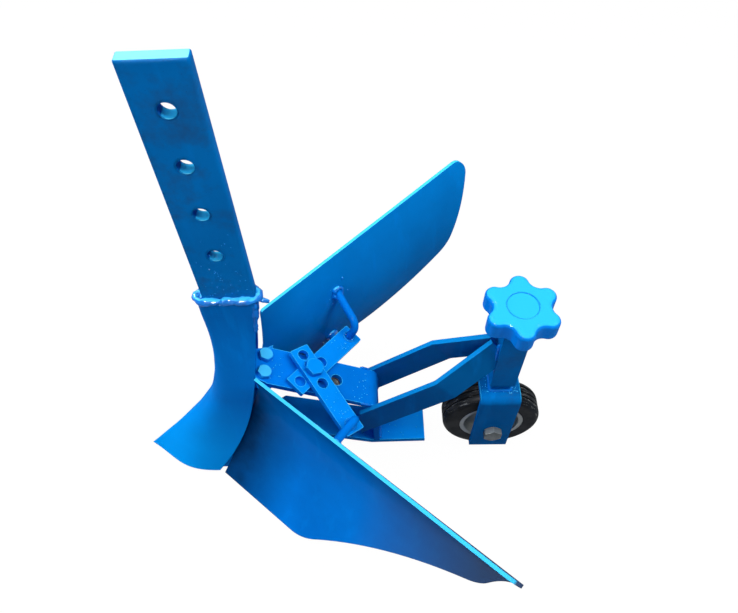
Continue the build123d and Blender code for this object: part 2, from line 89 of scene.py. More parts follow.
class Finish(Enum):
    """Finishes that the pieces are dressed in, with their materials' names."""

    ENAMEL = "azure_enamel"
    SHARE = "azure_enamel_share"
    EDGED = "azure_enamel_edged"
    SOILED = "azure_enamel_soiled_shaded"
    ARMS = "azure_enamel_arms"
    LINKS = "azure_enamel_links"
    WORN = "azure_enamel_worn"
    BAR = "azure_enamel_bar"
    WELD = "azure_enamel_weld"
    BEAD = "azure_enamel_bead"
    BORE = "azure_enamel_bore"
    BOLT = "azure_enamel_bolt"
    KNOB = "azure_knob"
    STEEL = "oiled_steel"
    ZINC = "dull_zinc"
    TYRE = "dusty_rubber"
    RIM = "grey_rim_plastic"


class NodeBoard:
    """A material's node tree with short calls for adding and joining nodes."""

    def __init__(self, name: str) -> None:
        """Start a material with a bare shader.

        Args:
            name: The material's name.
        """
        self.material = bpy.data.materials.new(name)
        self.material.use_nodes = True
        self.tree = self.material.node_tree
        self.tree.nodes.clear()
        self.shader = self.add("BsdfPrincipled")
        self.join(self.shader, "BSDF", self.add("OutputMaterial"), "Surface")
        self.coords = self.add("TexCoord")

    def settle(self, node: Node, **values: object) -> Node:
        """Set a node's properties or input defaults.

        Args:
            node: The node.
            values: Property names, or input names with underscores for spaces.

        Returns:
            The same node.
        """
        for key, value in values.items():
            if hasattr(node, key):
                setattr(node, key, value)
            else:
                node.inputs[key.replace("_", " ")].default_value = value
        return node

    def add(self, kind: str, **values: object) -> Node:
        """Add a shader node of a kind and settle it."""
        return self.settle(self.tree.nodes.new(f"ShaderNode{kind}"), **values)

    def join(self, source: Node, out: str | int, target: Node, into: str | int) -> None:
        """Link one node's output to another's input."""
        self.tree.links.new(source.outputs[out], target.inputs[into])

    def place(self, scale: Sequence[float], turn: Sequence[float] = (0, 0, 0),
              shift: Sequence[float] = (0, 0, 0)) -> Node:
        """Mapping node that stretches, turns and then moves Object coordinates for a pattern."""
        return self.feed(self.add("Mapping", Scale=scale, Rotation=turn, Location=shift))

    def feed(self, pattern: Node, spot: Node | None = None) -> Node:
        """Give a pattern its coordinates.

        Args:
            pattern: Node with a Vector input.
            spot: Mapping node that places it, or nothing for plain Object coordinates.

        Returns:
            The pattern node.
        """
        source, out = (self.coords, "Object") if spot is None else (spot, "Vector")
        self.join(source, out, pattern, "Vector")
        return pattern

    def axes(self, spot: Node | None = None) -> Node:
        """Separate XYZ node on Object coordinates, or on a Mapping node."""
        return self.feed(self.add("SeparateXYZ"), spot)

    def cloud(self, scale: float, detail: float, rough: float, spot: Node | None = None) -> Node:
        """Noise texture with its scale per metre, octaves and their weight."""
        cloud = self.add("TexNoise", Scale=scale, Detail=detail, Roughness=rough)
        return self.feed(cloud, spot)

    def band(self, source: Node, out: str, low: float, high: float,
             floor: float = 0.0, ceiling: float = 1.0) -> Node:
        """Map a band of values onto another, clamped.

        Args:
            source: Node that gives the value.
            out: Its output's name.
            low: Value mapped to floor.
            high: Value mapped to ceiling.
            floor: Result at low.
            ceiling: Result at high.

        Returns:
            The Map Range node.
        """
        limits = {"From_Min": low, "From_Max": high, "To_Min": floor, "To_Max": ceiling}
        ranged = self.add("MapRange", clamp=True, **limits)
        self.join(source, out, ranged, "Value")
        return ranged

    def reckon(self, operation: str, *terms: float | tuple[Node, str]) -> Node:
        """Math node on numbers and on other nodes' values.

        Args:
            operation: Blender's name of the operation.
            terms: Numbers, or nodes with their outputs' names.

        Returns:
            The Math node.
        """
        node = self.add("Math", operation=operation)
        for index, term in enumerate(terms):
            if isinstance(term, tuple):
                self.join(*term, node, index)
            else:
                node.inputs[index].default_value = term
        return node

    def overlap(self, first: Node, second: Node, most: float = 1.0) -> Node:
        """Mask, up to a strength, of where two masks meet."""
        both = self.reckon("MULTIPLY", (first, "Result"), (second, "Result"))
        return self.band(both, "Value", 0.0, 1.0, 0.0, most)

    def blend(self, mask: Node, first: object, second: object) -> Node:
        """Mix two colours by a mask.

        Args:
            mask: Node whose Result is the factor.
            first: Colour, or a Mix node, where the mask is 0.
            second: Colour, or a Mix node, where the mask is 1.

        Returns:
            The Mix node, whose colour is its Result.
        """
        mix = self.add("Mix", data_type="RGBA")
        self.join(mask, "Result", mix, 0)
        for index, value in ((6, first), (7, second)):
            if isinstance(value, Node):
                self.join(value, 2, mix, index)
            else:
                mix.inputs[index].default_value = (*value, 1.0)
        return mix

    def colour(self, mix: Node) -> None:
        """Use a Mix node's colour as the base colour."""
        self.join(mix, 2, self.shader, "Base Color")

    def roughness(self, source: Node, low: float, high: float, floor: float, ceiling: float) -> None:
        """Let the roughness follow a noise texture, as band() maps it."""
        self.join(self.band(source, "Fac", low, high, floor, ceiling), "Result", self.shader, "Roughness")

    def worn_rim(self, radius: float) -> Node:
        """Mask of upward-looking edges, where the paint is worn and a highlight is painted on.

        Args:
            radius: How far from an edge the mask reaches, in metres.

        Returns:
            The Map Range node of the mask.
        """
        rounded = self.add("Bevel", samples=4, Radius=radius)
        surface = self.add("NewGeometry")
        match = self.add("VectorMath", operation="DOT_PRODUCT")
        self.join(rounded, "Normal", match, 0)
        self.join(surface, "Normal", match, 1)
        return self.overlap(self.band(match, "Value", 0.985, 0.86), self.upward(0.45, 0.9))

    def upward(self, low: float, high: float) -> Node:
        """Mask of faces that look upwards.

        Args:
            low: Upward part of the normal where the mask starts.
            high: Upward part of the normal where it is full.

        Returns:
            The Map Range node of the mask.
        """
        axes = self.add("SeparateXYZ")
        self.join(self.add("NewGeometry"), "Normal", axes, "Vector")
        return self.band(axes, "Z", low, high)

    def relief(self, layers: Iterable[tuple[Node, str, float, float]], edge: float = 0.0) -> None:
        """Stack bump layers on the surface, over softly rounded edges.

        Args:
            layers: Height node, its output, strength and distance in metres.
            edge: Radius of the rounding that the shading gives to edges, in metres.
        """
        below = self.add("Bevel", samples=4, Radius=edge) if edge > 0 else None
        for height, out, strength, distance in layers:
            bump = self.add("Bump", Strength=strength, Distance=distance)
            self.join(height, out, bump, "Height")
            if below is not None:
                self.join(below, "Normal", bump, "Normal")
            below = bump
        for socket in ("Normal", "Coat Normal"):
            self.join(below, "Normal", self.shader, socket)


class Recipe:
    """A finish that can be made into a material."""

    def make(self, name: str) -> Material:
        """Build the material.

        Args:
            name: The material's name.

        Returns:
            The finished material.
        """
        board = NodeBoard(name)
        self.paint(board)
        return board.material

    def paint(self, board: NodeBoard) -> None:
        """Lay out the finish's nodes on a board."""
        raise NotImplementedError


@dataclass(frozen=True)
class Enamel(Recipe):
    """Glossy azure enamel over welded steel, or the same blue moulded in plastic."""

    base: Colour = (0.0002, 0.19, 0.74)
    deep: Colour = (0.0002, 0.155, 0.62)
    # thin also colours the painted light on the share's foot
    thin: Colour = (0.001, 0.26, 0.86)
    # rim: colour of the painted highlight on upward edges, or on upward faces when crown is below 1
    rim: Colour = (0.05, 0.6, 0.97)
    chip: Colour = (0.001, 0.045, 0.2)
    soot: Colour = (0.02, 0.04, 0.075)
    # soil, shadow and dust colour a wing: painted shadow of the share mixed with soil at its front, painted
    # shade under its top edge, greyer colour towards its tip
    soil: Colour = (0.0004, 0.02, 0.075)
    shadow: Colour = (0.0004, 0.05, 0.19)
    dust: Colour = (0.05, 0.07, 0.11)
    # crown below 1 gives every face that looks upwards the rim colour, a painted top light
    crown: float = 1.0
    gloss: float = 0.2
    coat: float = 0.024
    peel: float = 0.16
    haze: float = 0.0
    # strength of the painted shadow of the share, mixed with soil, on a wing's front
    grime: float = 0.0
    # strength of the greyer colour towards a wing's tip
    tail_dust: float = 0.0
    shade: float = 0.0
    # strength of the painted light on the share, lighter towards its foot
    scour: float = 0.0
    edge: float = 0.0009
    # how far the painted highlight reaches from an edge
    rim_reach: float = 0.0016

    def paint(self, board: NodeBoard) -> None:
        """Pool the colour and lay runs, chips, soot, painted light and shade, and the painted highlight
        over it.

        Args:
            board: The material's node tree.
        """
        drift = board.cloud(11.0, 4.0, 0.55)
        streaks = board.cloud(60.0, 3.0, 0.6, board.place((1.0, 1.0, 0.16)))
        specks = board.feed(board.add("TexVoronoi", Scale=260.0))
        # Painted highlight: upward faces, or upward edges when crown is 1, take the rim colour.
        if self.crown < 1:
            painted_highlight = board.upward(self.crown, self.crown + 0.12)
        else:
            painted_highlight = board.worn_rim(self.rim_reach)
        layers = [
            (board.band(streaks, "Fac", 0.55, 0.78, 0.0, 0.35), self.thin),
            (board.band(specks, "Distance", 0.05, 0.1, 0.45, 0.0), self.chip),
            *self.dirt(board),
            (painted_highlight, self.rim),
        ]
        colour = board.blend(board.band(drift, "Fac", 0.36, 0.62), self.deep, self.base)
        for mask, over in layers:
            colour = board.blend(mask, colour, over)
        board.colour(colour)
        board.roughness(drift, 0.3, 0.7, self.gloss + 0.08, self.gloss - 0.05)
        swell, peel = board.cloud(70.0, 2.0, 0.5), board.cloud(420.0, 2.0, 0.5)
        bumps = (swell, "Fac", self.peel, 0.0012), (peel, "Fac", self.peel, 0.0003)
        board.relief([*bumps, (specks, "Distance", 0.05, 0.0004)], self.edge)
        board.settle(board.shader, Specular_IOR_Level=0.0, Coat_Weight=self.coat, Coat_Roughness=0.1)

    def dirt(self, board: NodeBoard) -> Iterator[tuple[Node, Colour]]:
        """Soot, painted light on the share's foot, and a wing's painted shadow, painted shade, soil and
        greying, where the finish has them.

        Args:
            board: Node tree that takes the masks.

        Returns:
            Each layer's mask and colour, lowest first.
        """
        if self.haze > 0:
            yield board.band(board.cloud(16.0, 6.0, 0.7), "Fac", 0.5, 0.72, 0.0, self.haze), self.soot
        # Painted light: the share is lighter towards its foot.
        if self.scour > 0:
            yield board.band(board.axes(), "Z", 0.13, 0.03, 0.0, self.scour), self.thin
        # A wing's painted shadow and shade, with soil and greying.
        if self.grime > 0:
            yield from self.wing_dirt(board)

    def wing_dirt(self, board: NodeBoard) -> Iterator[tuple[Node, Colour]]:
        """Painted shadow of the share mixed with soil on a wing's front, painted shade below its sloping
        top edge, and greyer colour towards its tip.

        Args:
            board: Node tree that takes the masks.

        Returns:
            Each layer's mask and colour, lowest first.
        """
        skin = WingSkin()
        axes = board.axes(board.place((1, 1, 1), shift=(-SHANK_X, 0, 0)))
        across = board.reckon("ABSOLUTE", (axes, "Y"))
        outward = board.reckon("MULTIPLY", (across, "Value"), math.sin(skin.yaw))
        run = board.reckon("MULTIPLY_ADD", (axes, "X"), math.cos(skin.yaw), (outward, "Value"))
        # Painted shadow of the share, mixed with soil, darkest at the wing's front.
        front = board.band(run, "Value", 0.075, 0.008)
        smear = board.band(board.cloud(28.0, 5.0, 0.65), "Fac", 0.3, 0.7, 0.8, 1.0)
        yield board.overlap(front, smear, self.grime), self.soil
        # Painted shade below the sloping top edge.
        level = board.reckon("MULTIPLY_ADD", (run, "Value"), -skin.top_slope, (axes, "Z"))
        yield board.band(level, "Value", 0.12, 0.185, 0.0, self.shade), self.shadow
        # Greyer towards the wing's tip.
        yield board.band(run, "Value", 0.15, 0.28, 0.0, self.tail_dust), self.dust


@dataclass(frozen=True)
class Metal(Recipe):
    """Bare or plated steel with turning marks, stains and a little rust."""

    base: Colour
    stain: Colour
    rust: Colour = (0.16, 0.07, 0.03)
    dust: Colour = (0.13, 0.15, 0.16)
    # edge: colour of the painted highlight on worn upward edges
    edge: Colour = (0.4, 0.43, 0.44)
    gloss: float = 0.34
    metal: float = 1.0

    def paint(self, board: NodeBoard) -> None:
        """Stain and rust the steel, with dust on top and a painted highlight on its worn upward edges.

        Args:
            board: The material's node tree.
        """
        patches = board.cloud(90.0, 5.0, 0.6)
        rust = board.cloud(240.0, 4.0, 0.7)
        marks = board.cloud(900.0, 2.0, 0.5, board.place((1.0, 0.2, 1.0)))
        dull = board.blend(board.band(patches, "Fac", 0.4, 0.68), self.base, self.stain)
        rusty = board.blend(board.band(rust, "Fac", 0.66, 0.74, 0.0, 0.7), dull, self.rust)
        dusty = board.blend(board.upward(0.3, 0.95), rusty, self.dust)
        # Painted highlight on the worn upward edges.
        board.colour(board.blend(board.worn_rim(0.0007), dusty, self.edge))
        board.roughness(patches, 0.3, 0.7, self.gloss, self.gloss + 0.22)
        board.relief([(marks, "Fac", 0.12, 0.0002)], 0.0004)
        board.settle(board.shader, Metallic=self.metal, Specular_IOR_Level=0.25)


@dataclass(frozen=True)
class TyreRubber(Recipe):
    """Near-black rubber with pale dust in streaks round the tread."""

    base: Colour = (0.0035, 0.0058, 0.009)
    dust: Colour = (0.06, 0.065, 0.07)
    rubbed: Colour = (0.035, 0.035, 0.034)
    scuff: Colour = (0.42, 0.44, 0.43)
    axle_x: float = 0.1673
    axle_z: float = 0.052
    tread: float = 0.0478

    def paint(self, board: NodeBoard) -> None:
        """Streak the rubber with dust and rub and scrape it.

        Args:
            board: The material's node tree.
        """
        streaks = board.cloud(30.0, 5.0, 0.65, board.place((1.0, 7.0, 1.0)))
        grain = board.cloud(700.0, 3.0, 0.6)
        blotch = board.cloud(45.0, 4.0, 0.6)
        dusty = board.blend(board.band(streaks, "Fac", 0.52, 0.74, 0.0, 0.55), self.base, self.dust)
        rubbed = board.blend(board.band(blotch, "Fac", 0.58, 0.75, 0.0, 0.35), dusty, self.rubbed)
        board.colour(board.blend(self.scuffs(board), rubbed, self.scuff))
        board.roughness(streaks, 0.4, 0.7, 0.5, 0.85)
        board.relief([(blotch, "Fac", 0.2, 0.0008), (grain, "Fac", 0.25, 0.0002)], 0.0006)
        board.settle(board.shader, Specular_IOR_Level=0.05)

    def scuffs(self, board: NodeBoard) -> Node:
        """Mask of pale scrapes round the tread.

        Args:
            board: Node tree that takes the mask.

        Returns:
            The Map Range node of the mask.
        """
        spoke = board.add("VectorMath", operation="LENGTH")
        board.join(board.place((1, 0, 1), shift=(-self.axle_x, 0, -self.axle_z)), "Vector", spoke, 0)
        tread = board.band(spoke, "Value", self.tread, self.tread + 0.0022)
        scrapes = board.cloud(55.0, 5.0, 0.75, board.place((1.0, 9.0, 1.0)))
        return board.overlap(tread, board.band(scrapes, "Fac", 0.56, 0.68), 0.7)


@dataclass(frozen=True)
class RimPlastic(Recipe):
    """Dull grey moulded rim with scuffs and soil dust."""

    base: Colour = (0.38, 0.42, 0.42)
    dust: Colour = (0.5, 0.51, 0.47)
    mark: Colour = (0.03, 0.035, 0.036)

    def paint(self, board: NodeBoard) -> None:
        """Dust the plastic and scuff it.

        Args:
            board: The material's node tree.
        """
        soil = board.cloud(55.0, 5.0, 0.65)
        scuffs = board.cloud(300.0, 3.0, 0.6, board.place((1.0, 1.0, 0.2), (0.3, 0.5, 0.2)))
        dusty = board.blend(board.band(soil, "Fac", 0.48, 0.72, 0.0, 0.7), self.base, self.dust)
        board.colour(board.blend(board.band(scuffs, "Fac", 0.64, 0.72, 0.0, 0.4), dusty, self.mark))
        board.roughness(soil, 0.4, 0.7, 0.42, 0.7)
        board.relief([(scuffs, "Fac", 0.1, 0.0003)], 0.0006)
        board.settle(board.shader, Specular_IOR_Level=0.2)


@dataclass
class FinishShelf:
    """All finishes, made once and looked up by name."""

    made: dict[Finish, Material] = field(default_factory=dict)
    by_solid: dict[str, Finish] = field(default_factory=lambda: {
        "share": Finish.SHARE, "left_wing": Finish.EDGED, "right_wing": Finish.SOILED,
        # The sole bar takes the links' lighter enamel, painted light on its heel.
        "shank": Finish.BAR, "sole_bar": Finish.LINKS,
        "left_arm": Finish.ARMS, "right_arm": Finish.ARMS,
        "left_link": Finish.LINKS, "right_link": Finish.LINKS,
        "guide_tube": Finish.WORN, "wheel_fork": Finish.WORN, "inner_post": Finish.WORN,
    })

    def stock(self) -> None:
        """Make every finish."""
        recipes: dict[Finish, Recipe] = {
            # In every enamel the rim colour is painted light on upward faces or edges.
            Finish.ENAMEL: Enamel(),
            # Share: lighter towards its foot, painted light
            Finish.SHARE: Enamel(
                (0.0002, 0.18, 0.67), (0.0002, 0.15, 0.57), thin=(0.0003, 0.33, 0.99), scour=0.95,
            ),
            # Far wing: painted top light, and the painted shadow of the share mixed with soil at its front
            Finish.EDGED: Enamel((0.0004, 0.195, 0.62), (0.0003, 0.16, 0.52), crown=0.72, grime=0.45),
            # Near wing: painted top light, painted shadow of the share mixed with soil, painted shade under
            # its top edge and a greyer tip
            Finish.SOILED: Enamel(
                rim=(0.04, 0.48, 0.84), crown=0.72, grime=0.94, tail_dust=0.8, shade=0.6,
            ),
            # Arms: a darker copy of the enamel, painted shade, with a darker painted top light
            Finish.ARMS: Enamel(
                (0.0003, 0.15, 0.47), (0.0003, 0.125, 0.39), rim=(0.004, 0.27, 0.72), crown=0.72,
            ),
            Finish.WORN: Enamel((0.0004, 0.16, 0.53), (0.0003, 0.135, 0.45), haze=0.4),
            # Links, sole bar, clamp bolt and link drops: a lighter copy of the enamel, painted light
            Finish.LINKS: Enamel((0.0006, 0.27, 0.85), (0.0004, 0.22, 0.77)),
            # Shank: a darker copy of the enamel, painted shade, with soot and a painted highlight on its
            # upward faces
            Finish.BAR: Enamel(
                (0.0006, 0.178, 0.58), (0.0005, 0.15, 0.5), rim=(0.2, 0.78, 0.98), crown=0.8,
                edge=0.0042, haze=0.65,
            ),
            Finish.WELD: Enamel((0.0002, 0.165, 0.66), gloss=0.1, coat=0.18, peel=0.9, edge=0.0),
            # Neck bead: its top is painted lighter, a painted highlight
            Finish.BEAD: Enamel(
                (0.0003, 0.17, 0.62), rim=(0.05, 0.55, 0.95), crown=0.84, gloss=0.1, coat=0.4,
                peel=0.7, edge=0.0,
            ),
            # Paint in the holes: a darker copy of the enamel, painted shade, with upward faces painted
            # lighter
            Finish.BORE: Enamel((0.0003, 0.12, 0.45), rim=(0.03, 0.54, 1.0), crown=0.55, edge=0.0),
            Finish.BOLT: Enamel(
                (0.01, 0.3, 0.86), (0.006, 0.25, 0.8), rim=(0.06, 0.55, 0.95), crown=0.8,
                peel=0.3, edge=0.0004,
            ),
            Finish.KNOB: Enamel(
                (0.001, 0.21, 0.77), (0.001, 0.18, 0.7), rim=(0.02, 0.43, 0.94), crown=0.7,
                coat=0.07, peel=0.05, edge=0.0004,
            ),
            Finish.STEEL: Metal((0.3, 0.3, 0.31), (0.14, 0.13, 0.12)),
            Finish.ZINC: Metal((0.05, 0.072, 0.088), (0.028, 0.04, 0.048), gloss=0.3, metal=0.3),
            Finish.TYRE: TyreRubber(),
            Finish.RIM: RimPlastic(),
        }
        for finish, recipe in recipes.items():
            self.made[finish] = recipe.make(finish.value)

    def dress_solids(self, frame: dict) -> None:
        """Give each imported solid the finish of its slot, or its own.
        """
        for row in frame["record"]["subparts"]:
            solid = frame["nodes"][row["node"]]
            finish = self.by_solid.get(row["node"], Finish[Slot(row["material_slot"]).name])
            solid.data.materials.clear()
            solid.data.materials.append(self.made[finish])


@dataclass
class Workshop:
    """Turns finished bmeshes into pieces that ride on a body."""

    shelf: FinishShelf
    sharp_from: float = math.radians(75)
    count: int = 0

    def piece(self, name: str, shape: BMesh, finish: Finish, body: str,
              stands_for: Sequence[str] = (), smooth: bool = True) -> None:
        """Make an object from a bmesh and fasten it to a body.

        Args:
            name: The piece's name.
            shape: Its bmesh, which is freed.
            finish: What it is dressed in.
            body: Body that it rides on.
            stands_for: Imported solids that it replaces.
            smooth: Whether its faces are shaded smooth.
        """
        bmesh.ops.recalc_face_normals(shape, faces=shape.faces)
        for face in shape.faces:
            face.smooth = smooth
        for edge in shape.edges:
            edge.smooth = edge.calc_face_angle(0.0) < self.sharp_from
        mesh = bpy.data.meshes.new(name)
        shape.to_mesh(mesh)
        shape.free()
        mesh.materials.append(self.shelf.made[finish])
        made = bpy.data.objects.new(name, mesh)
        bpy.context.scene.collection.objects.link(made)
        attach(made, body)
        if stands_for:
            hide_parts(*stands_for)
        self.count += 1
        LOG.info("%s: %d faces on %s", name, len(mesh.polygons), body)


@dataclass
class Assembly:
    """Pieces that belong together, made in one workshop."""

    shop: Workshop

    def build(self) -> None:
        """Make all pieces."""
        raise NotImplementedError


def in_mm(rows: Iterable[Sequence[float]], side: int = 1, start: float = SHANK_X) -> list[Vector]:
    """Points from millimetres, with X counted from a start and Y mirrored for side -1."""
    return [Vector((start + x * MM, side * y * MM, z * MM)) for x, y, z in rows]


def facing(way: Vector) -> Matrix:
    """Rotation that turns Z to a way."""
    return way.to_track_quat("Z", "Y").to_matrix().to_4x4()


def circle(shape: BMesh, corners: int, radius: float, pose: Matrix = Matrix.Identity(4)) -> Loop:
    """Draw a circle round a pose's Z and return its vertices and edges."""
    ring = list(bmesh.ops.create_circle(shape, segments=corners, radius=radius, matrix=pose)["verts"])
    return ring, list({edge for vert in ring for edge in vert.link_edges})


def grow(shape: BMesh, edges: Sequence[BMEdge]) -> Loop:
    """Extrude a closed loop in place.

    Args:
        shape: Bmesh that holds the loop.
        edges: The loop's edges.

    Returns:
        The new loop's vertices and edges.
    """
    grown = bmesh.ops.extrude_edge_only(shape, edges=edges)["geom"]
    ring = [item for item in grown if isinstance(item, BMVert)]
    loop = [item for item in grown if isinstance(item, BMEdge) and all(vert in ring for vert in item.verts)]
    return ring, loop


def outline(shape: BMesh, points: Iterable[Vector]) -> Loop:
    """Draw a closed line and return its vertices and edges."""
    ring = [shape.verts.new(point) for point in points]
    return ring, [shape.edges.new(pair) for pair in zip(ring, ring[1:] + ring[:1])]


def spin_round(shape: BMesh, line: Loop, middle: Sequence[float],
               axis: Sequence[float], steps: int) -> None:
    """Spin a closed line once round an axis and merge its ends."""
    geometry = [*line[0], *line[1]]
    bmesh.ops.spin(shape, geom=geometry, cent=middle, axis=axis, angle=TURN, steps=steps, use_merge=True)


@dataclass
class WeldBead:
    """Rippled, lumpy weld bead along a route."""

    radius: float
    ripple: float = 2.8 * MM
    lump: float = 0.22
    sides: int = 10
    seed: float = 0.0
    swell: float = 0.035
    lump_scale: float = 95.0
    grain_scale: float = 260.0

    def stations(self, route: Sequence[Vector], closed: bool) -> list[Vector]:
        """Even stations along a route, a third of a ripple apart.

        Args:
            route: Corner points.
            closed: Whether the last point joins the first.

        Returns:
            The station points.
        """
        corners = list(route) + ([route[0]] if closed else [])
        points: list[Vector] = []
        for start, end in zip(corners, corners[1:]):
            steps = max(1, round((end - start).length / (self.ripple / 3)))
            points += [start.lerp(end, step / steps) for step in range(steps)]
        return points if closed else points + [corners[-1]]

    def lay(self, shape: BMesh, route: Sequence[Vector], closed: bool = False) -> None:
        """Sweep a ring along the route and swell it into ripples and lumps.

        Args:
            shape: Bmesh that takes the bead.
            route: Corner points of the bead's middle line.
            closed: Whether the bead runs round to its start.
        """
        points = self.stations(route, closed)
        last = len(points) - 1
        ring, edges = circle(shape, self.sides, self.radius)
        first = edges
        pose = Matrix.Identity(4)
        for index, point in enumerate(points):
            if index:
                ring, edges = grow(shape, edges)
            ahead = points[(index + 1) % len(points)] if closed else points[min(index + 1, last)]
            behind = points[index - 1] if closed or index else points[0]
            wave = 1 + self.swell * math.sin(TURN * index / 3 + self.seed)
            wave += self.lump * noise.noise(point * self.lump_scale + Vector((self.seed, 0, 0)))
            if not closed:
                wave *= min(1.0, 0.45 + 0.2 * min(index, last - index))
            turn = facing((ahead - behind).normalized())
            target = Matrix.Translation(point) @ turn @ Matrix.Scale(wave, 4)
            bmesh.ops.transform(shape, matrix=target @ pose.inverted(), verts=ring)
            pose = target
        if closed:
            bmesh.ops.bridge_loops(shape, edges=edges + first)
        else:
            bmesh.ops.holes_fill(shape, edges=edges + first, sides=self.sides)

    def roughen(self, shape: BMesh) -> None:
        """Push the bead's skin in and out with fine noise.

        Args:
            shape: Bmesh that holds the bead.
        """
        shape.normal_update()
        for vert in shape.verts:
            push = noise.noise(vert.co * self.grain_scale + Vector((0, self.seed, 0)))
            vert.co += vert.normal * push * self.radius * self.lump
        every_way = {f"use_axis_{axis}": True for axis in "xyz"}
        bmesh.ops.smooth_vert(shape, verts=shape.verts, factor=0.5, **every_way)


@dataclass
class Spatter:
    """Flat drops of weld metal and paint thrown over a patch."""

    count: int
    seed: int
    least: float = 0.35 * MM
    most: float = 0.95 * MM
    height: float = 0.6
    crowding: float = 1.6

    def throw(self, shape: BMesh, pose: Matrix, wide: float, long: float) -> None:
        """Scatter the drops over a patch, closer together towards its start.

        Args:
            shape: Bmesh that takes the drops.
            pose: Patch frame, with Z out of the surface and its start at X zero.
            wide: Half width of the patch along Y.
            long: Length of the patch along X.
        """
        spots = random.Random(self.seed)
        for _ in range(self.count):
            place = Vector((long * spots.random() ** self.crowding, spots.uniform(-wide, wide), 0))
            size = spots.uniform(self.least, self.most)
            flat = Matrix.Diagonal((spots.uniform(0.8, 1.5), spots.uniform(0.8, 1.2), self.height, 1))
            spot = pose @ Matrix.Translation(place) @ flat
            bmesh.ops.create_icosphere(shape, subdivisions=1, radius=size, matrix=spot)


@dataclass
class ThreadRidge:
    """Helical ridge of closed section round Z, for a bolt's thread or a nut's."""

    root: float
    crest: float
    pitch: float
    turns: int
    steps: int = 24
    root_half: float = 0.42
    crest_half: float = 0.06

    def wind(self, shape: BMesh, low: float) -> None:
        """Spin the ridge up from a height and close both its ends.

        Args:
            shape: Bmesh that takes the ridge.
            low: Height of the first turn's middle.
        """
        rows = (
            (self.root, -self.root_half), (self.crest, -self.crest_half),
            (self.crest, self.crest_half), (self.root, self.root_half),
        )
        section = [Vector((radius, 0, low + lift * self.pitch)) for radius, lift in rows]
        ring, edges = outline(shape, section)
        spun = bmesh.ops.spin(
            shape, geom=ring + edges, cent=(0, 0, 0), axis=(0, 0, 1), dvec=(0, 0, self.pitch / self.steps),
            angle=TURN * self.turns, steps=self.steps * self.turns,
        )
        last = [item for item in spun["geom_last"] if isinstance(item, BMEdge)]
        bmesh.ops.holes_fill(shape, edges=edges + last, sides=len(rows))


@dataclass
class HexFastener:
    """Hexagon bolt or nut with a chamfered crown, built along Z with its seat at zero."""

    across_flats: float
    height: float
    crown: float = 0.78
    segments: int = 48
    slack: float = 0.05 * MM
    tip_core: float = 0.84
    seat_core: float = 0.9
    thread_root: float = 0.82

    def hex_radius(self, turn: float, limit: float) -> float:
        """Distance from the axis to the hexagon at an angle, held inside a round limit."""
        sector = (turn + math.pi / 6) % (math.pi / 3) - math.pi / 6
        return min(self.across_flats / 2 / math.cos(sector), limit)

    def head(self, shape: BMesh, pose: Matrix) -> None:
        """Grow the hexagon ring by ring, with a round crown and a washer face.

        Args:
            shape: Bmesh that takes the head.
            pose: Where the seat lies.
        """
        corner = self.across_flats / math.sqrt(3)
        flat = self.across_flats / 2
        slope = 1 - self.crown
        rows = (
            (0.0, flat * 0.95), (self.height * 0.08, flat * 0.97), (self.height * 0.12, corner * 0.985),
            (self.height * self.crown, corner), (self.height * (1 - slope * 0.45), flat * 1.08),
            (self.height * (1 - slope * 0.1), flat * 0.99), (self.height, flat * (1 - slope * 0.36)),
        )
        ring, edges = circle(shape, self.segments, 1.0)
        bottom = edges
        made = list(ring)
        for index, (level, limit) in enumerate(rows):
            if index:
                ring, edges = grow(shape, edges)
                made += ring
            for vert in ring:
                turn = math.atan2(vert.co.y, vert.co.x)
                radius = self.hex_radius(turn, limit)
                vert.co = (radius * math.cos(turn), radius * math.sin(turn), level)
        bmesh.ops.holes_fill(shape, edges=edges + bottom, sides=self.segments)
        bmesh.ops.transform(shape, matrix=pose, verts=made)

    def bolt(self, shape: BMesh, pose: Matrix, diameter: float, length: float, pitch: float) -> None:
        """Head over a tapered core with a turned thread at its end.

        Args:
            shape: Bmesh that takes the bolt.
            pose: Where the seat lies.
            diameter: Shank diameter.
            length: Shank length under the seat.
            pitch: Thread pitch.
        """
        self.head(shape, pose)
        radius = diameter / 2 - self.slack
        before = set(shape.verts)
        bmesh.ops.create_cone(
            shape, cap_ends=True, segments=32, radius1=radius * self.tip_core,
            radius2=radius * self.seat_core, depth=length, matrix=Matrix.Translation((0, 0, -length / 2)),
        )
        turns = max(1, int(min(length, 4 * diameter) / pitch) - 1)
        ThreadRidge(radius * self.thread_root, radius, pitch, turns).wind(shape, pitch * 0.45 - length)
        fresh = [vert for vert in shape.verts if vert not in before]
        bmesh.ops.transform(shape, matrix=pose, verts=fresh)


@dataclass
class PlateFrame:
    """Frame of the sloping centre plate: u to the rear, v to the left, n out of its top."""

    slope: float = math.radians(26.5)
    top: Vector = field(default_factory=lambda: Vector((14.0 * MM + SHANK_X, 0, 162.6 * MM)))

    def pose(self, u: float, v: float, n: float, turn: float = 0.0) -> Matrix:
        """Pose with its Z out of the plate, turned about that in radians."""
        start = Matrix.Translation(self.top) @ Matrix.Rotation(self.slope, 4, "Y")
        return start @ Matrix.Translation((u, v, n)) @ Matrix.Rotation(turn, 4, "Z")

    def at(self, u: float, v: float, n: float) -> Vector:
        """Point in the plate's frame."""
        return self.pose(u, v, n).to_translation()


